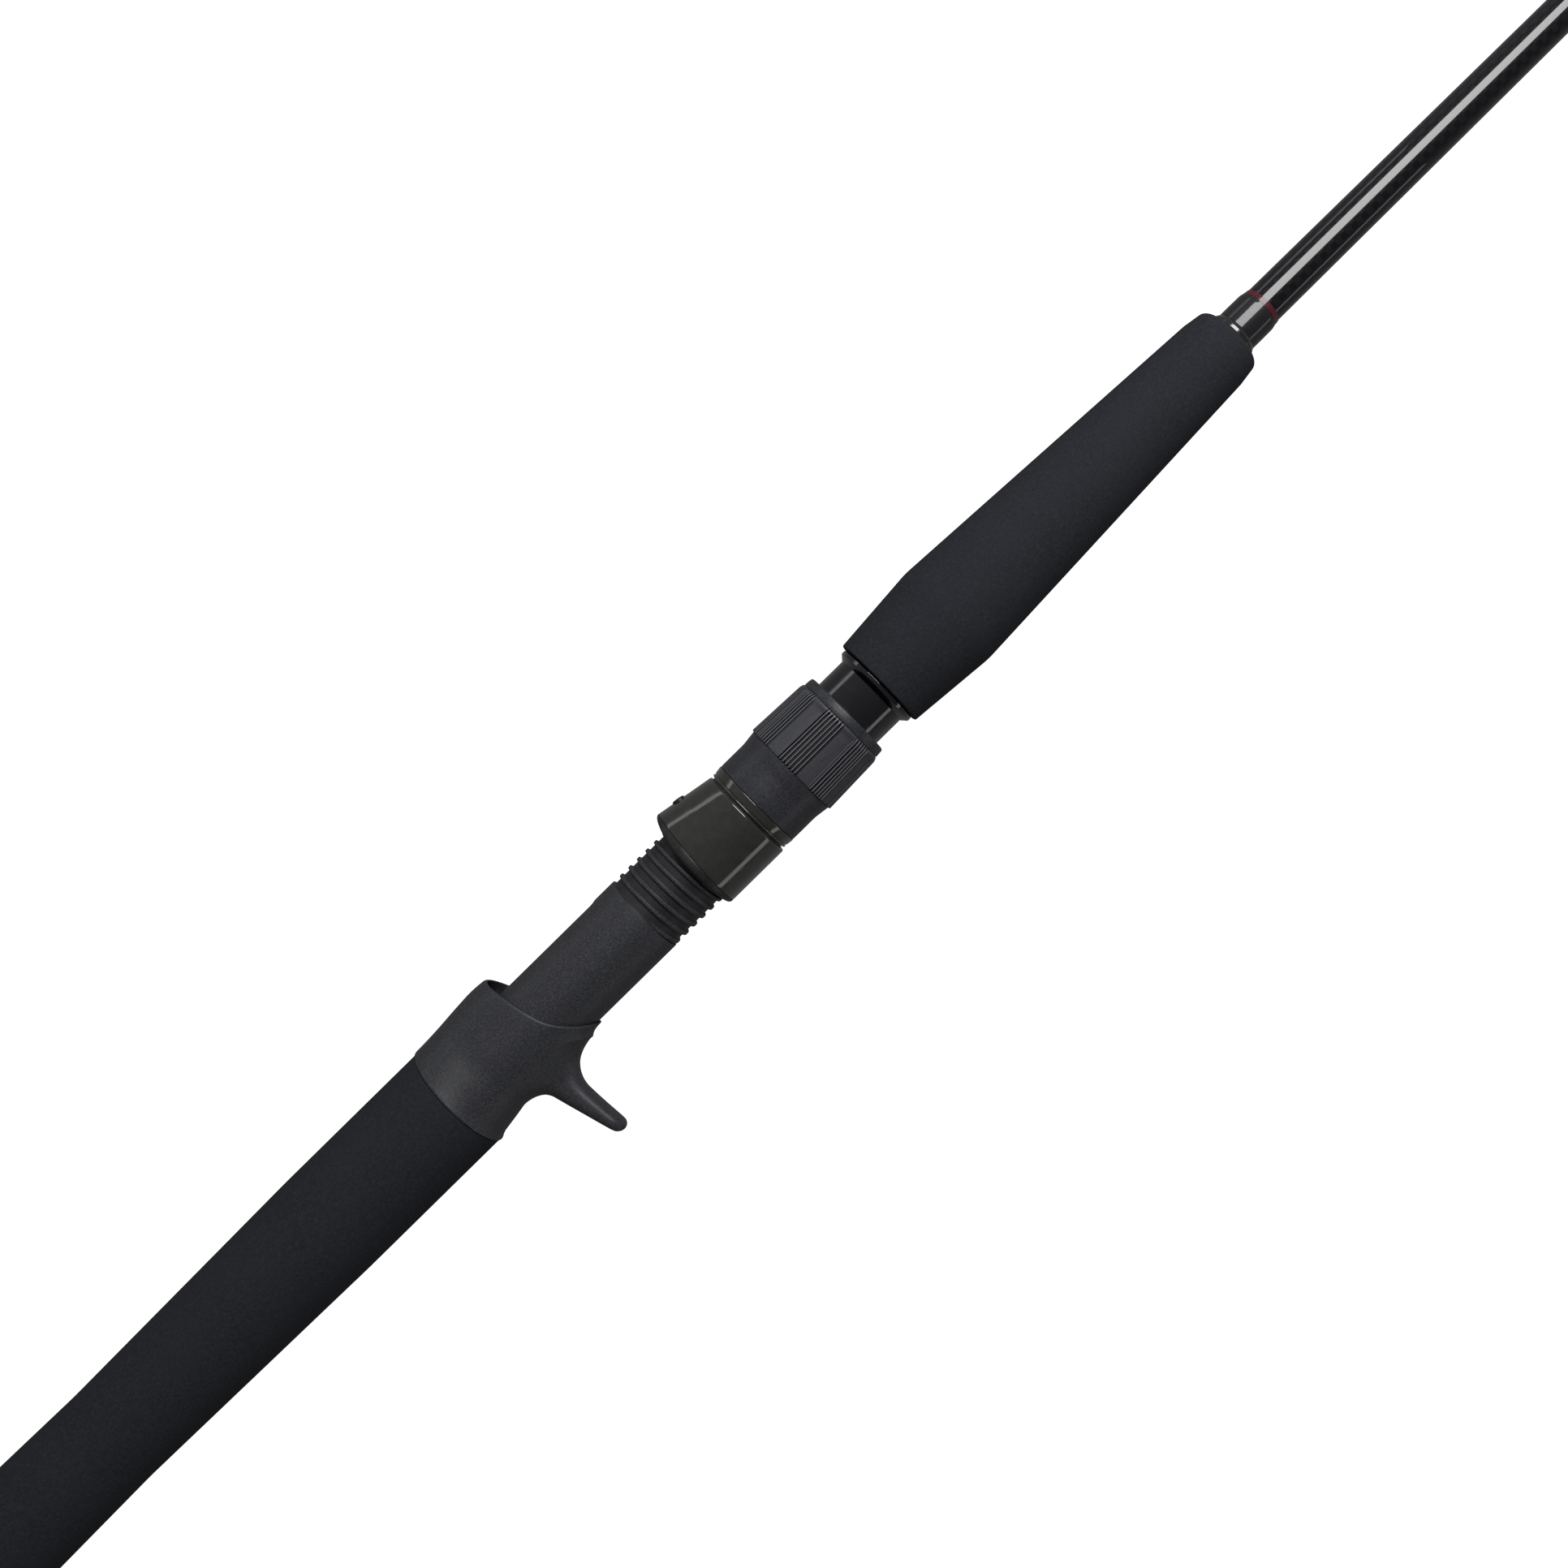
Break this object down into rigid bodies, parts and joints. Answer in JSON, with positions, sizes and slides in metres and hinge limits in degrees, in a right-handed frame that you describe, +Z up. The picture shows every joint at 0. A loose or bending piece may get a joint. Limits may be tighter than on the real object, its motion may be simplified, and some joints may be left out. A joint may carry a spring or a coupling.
{
  "type": "trigger casting rod",
  "caption": "One-piece casting rod with a foam handle, a trigger reel seat whose moving hood is driven by a threaded nut, and a row of two-foot line guides.",
  "frame": {"origin": "middle of the butt cap's flat end face, on the rod's axis", "axes": "+X along the rod towards the tip, +Y towards the reel and guide side so the trigger points along -Y, +Z up as the rod lies on its side"},
  "size_m": [1.68, 0.0621, 0.033],
  "materials": {
    "eva_foam": "fine closed-cell foam, matte",
    "butt_rubber": "moulded rubber, satin",
    "carbon_blank": "clear gloss over woven carbon",
    "arbor_foam": "rigid foam",
    "seat_plastic": "soft-touch matte",
    "grip_sleeve": "matte, grooved",
    "liner_plastic": "matte",
    "gloss_plastic": "gloss black",
    "hood_gloss": "gloss black",
    "check_gloss": "gloss black",
    "thread_epoxy": "black thread under clear epoxy",
    "trim_thread": "dark red thread under clear epoxy",
    "guide_metal": "dark polished plating",
    "ring_ceramic": "polished ceramic"
  },
  "bodies": {
    "rod": {"butt_cap": "butt_rubber", "rear_grip": "eva_foam", "blank": "carbon_blank", "arbor_rear": "arbor_foam", "arbor_middle": "arbor_foam", "arbor_front": "arbor_foam", "reel_seat": "seat_plastic", "seat_thread": "seat_plastic", "front_barrel": "gloss_plastic", "front_ring": "gloss_plastic", "foregrip": "eva_foam", "winding_check": "check_gloss", "butt_wrap": "thread_epoxy", "trim_band": "trim_thread", "guide_1_frame": "guide_metal", "guide_1_ring": "ring_ceramic", "guide_1_wraps": "thread_epoxy", "guide_2_frame": "guide_metal", "guide_2_ring": "ring_ceramic", "guide_2_wraps": "thread_epoxy", "guide_3_frame": "guide_metal", "guide_3_ring": "ring_ceramic", "guide_3_wraps": "thread_epoxy", "guide_4_frame": "guide_metal", "guide_4_ring": "ring_ceramic", "guide_4_wraps": "thread_epoxy", "guide_5_frame": "guide_metal", "guide_5_ring": "ring_ceramic", "guide_5_wraps": "thread_epoxy", "guide_6_frame": "guide_metal", "guide_6_ring": "ring_ceramic", "guide_6_wraps": "thread_epoxy", "tip_frame": "guide_metal", "tip_ring": "ring_ceramic", "tip_wrap": "thread_epoxy"},
    "hood": {"hood_shell": "hood_gloss", "hood_liner": "liner_plastic"},
    "nut": {"slip_ring": "gloss_plastic", "lock_nut": "seat_plastic", "nut_thread": "seat_plastic", "nut_grip": "grip_sleeve"}
  },
  "joints": [
    {"name": "hood_slide", "type": "slide", "parent": "rod", "child": "hood", "axis": [1, 0, 0], "range_m": [-0.024, 0.006]},
    {"name": "nut_spin", "type": "hinge", "parent": "hood", "child": "nut", "pos_m": [0.44, 0, 0], "axis": [1, 0, 0], "range_deg": [-2880, 720]}
  ],
  "couplings": [
    {"joint": "nut_spin", "follows": "hood_slide", "rad_per_m": 2094.4}
  ]
}
